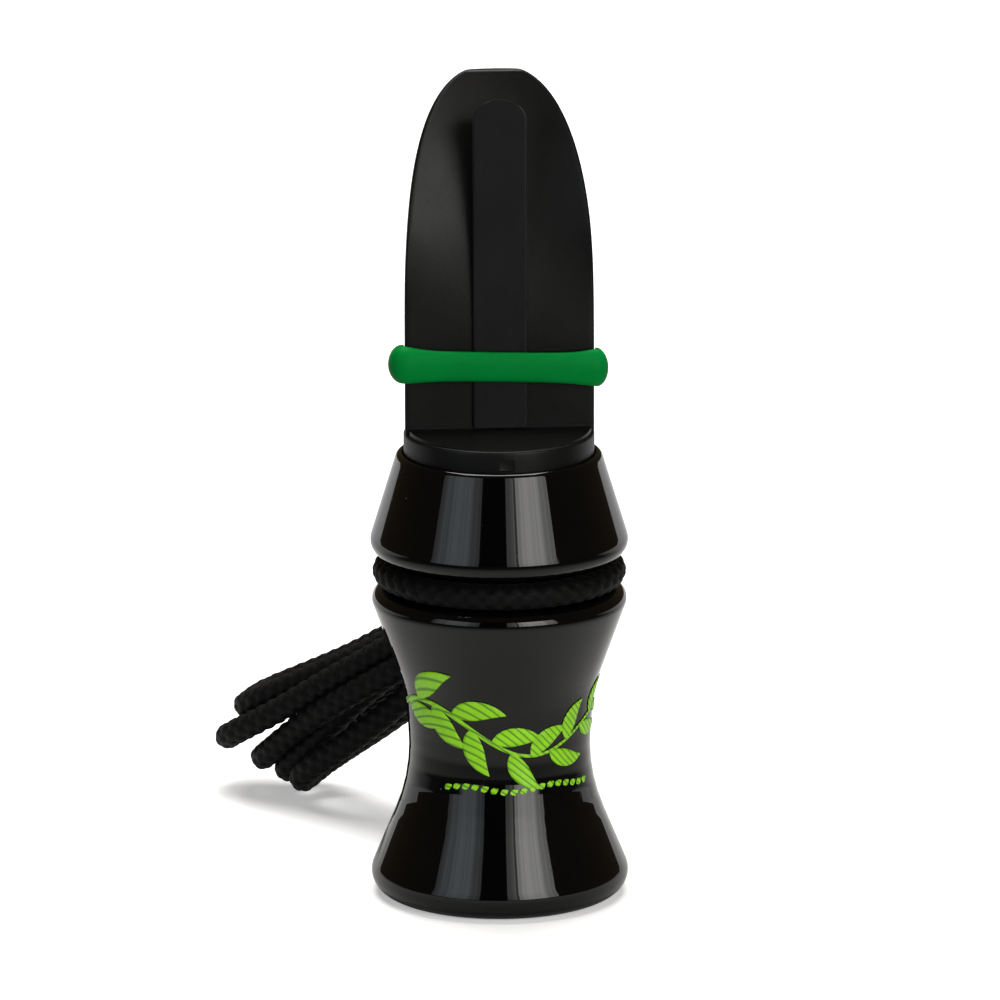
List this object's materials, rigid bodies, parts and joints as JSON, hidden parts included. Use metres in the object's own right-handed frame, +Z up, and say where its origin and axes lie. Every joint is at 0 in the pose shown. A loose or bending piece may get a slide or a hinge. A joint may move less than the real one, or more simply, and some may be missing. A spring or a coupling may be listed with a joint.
{
  "type": "open-reed game call",
  "caption": "Open-reed game call: a turned flared barrel with a lanyard groove, a plug-in toneboard with a banded flat reed, and a folded cord lanyard.",
  "frame": {"origin": "middle of the barrel's foot, on the surface that it stands on", "axes": "+Z up the barrel towards the toneboard's tip, the reed side faces -Y, +X to the right seen from the reed side"},
  "size_m": [0.0579, 0.0871, 0.1219],
  "materials": {
    "acrylic": "polished black cast acrylic, with a green printed ornament round the waist",
    "moulded_plastic": "satin black injection-moulded plastic with a fine sandy texture",
    "reed_film": "smooth satin black polyester film",
    "band_rubber": "satin green latex rubber",
    "seal_rubber": "black nitrile rubber, slightly greased",
    "cord": "black braided polyester cord, 4 mm"
  },
  "bodies": {
    "barrel": {"barrel": "acrylic"},
    "insert_slide": {"seal_ring_upper": "seal_rubber", "seal_ring_lower": "seal_rubber"},
    "toneboard": {"toneboard": "moulded_plastic", "reed_tail": "reed_film"},
    "reed": {"reed_blade": "reed_film"},
    "band": {"tuning_band": "band_rubber"},
    "lanyard": {"lanyard_loop": "cord", "lanyard_knot": "cord", "lanyard_hank": "cord", "lanyard_tie": "cord"}
  },
  "joints": [
    {"name": "insert_pull", "type": "slide", "parent": "barrel", "child": "insert_slide", "axis": [0, 0, 1], "range_m": [0, 0.024]},
    {"name": "insert_twist", "type": "hinge", "parent": "insert_slide", "child": "toneboard", "pos_m": [0, 0, 0.0698], "axis": [0, 0, 1], "continuous": true},
    {"name": "reed_flex", "type": "hinge", "parent": "toneboard", "child": "reed", "pos_m": [0, -0.0021, 0.083], "axis": [-1, 0, 0], "range_deg": [0, 4], "stiffness_Nm_per_rad": 0.01},
    {"name": "band_slide", "type": "slide", "parent": "toneboard", "child": "band", "axis": [0, 0, 1], "range_m": [-0.005, 0.008]},
    {"name": "lanyard_swivel", "type": "hinge", "parent": "barrel", "child": "lanyard", "pos_m": [0, 0, 0.04883], "axis": [0, 0, 1], "continuous": true}
  ]
}
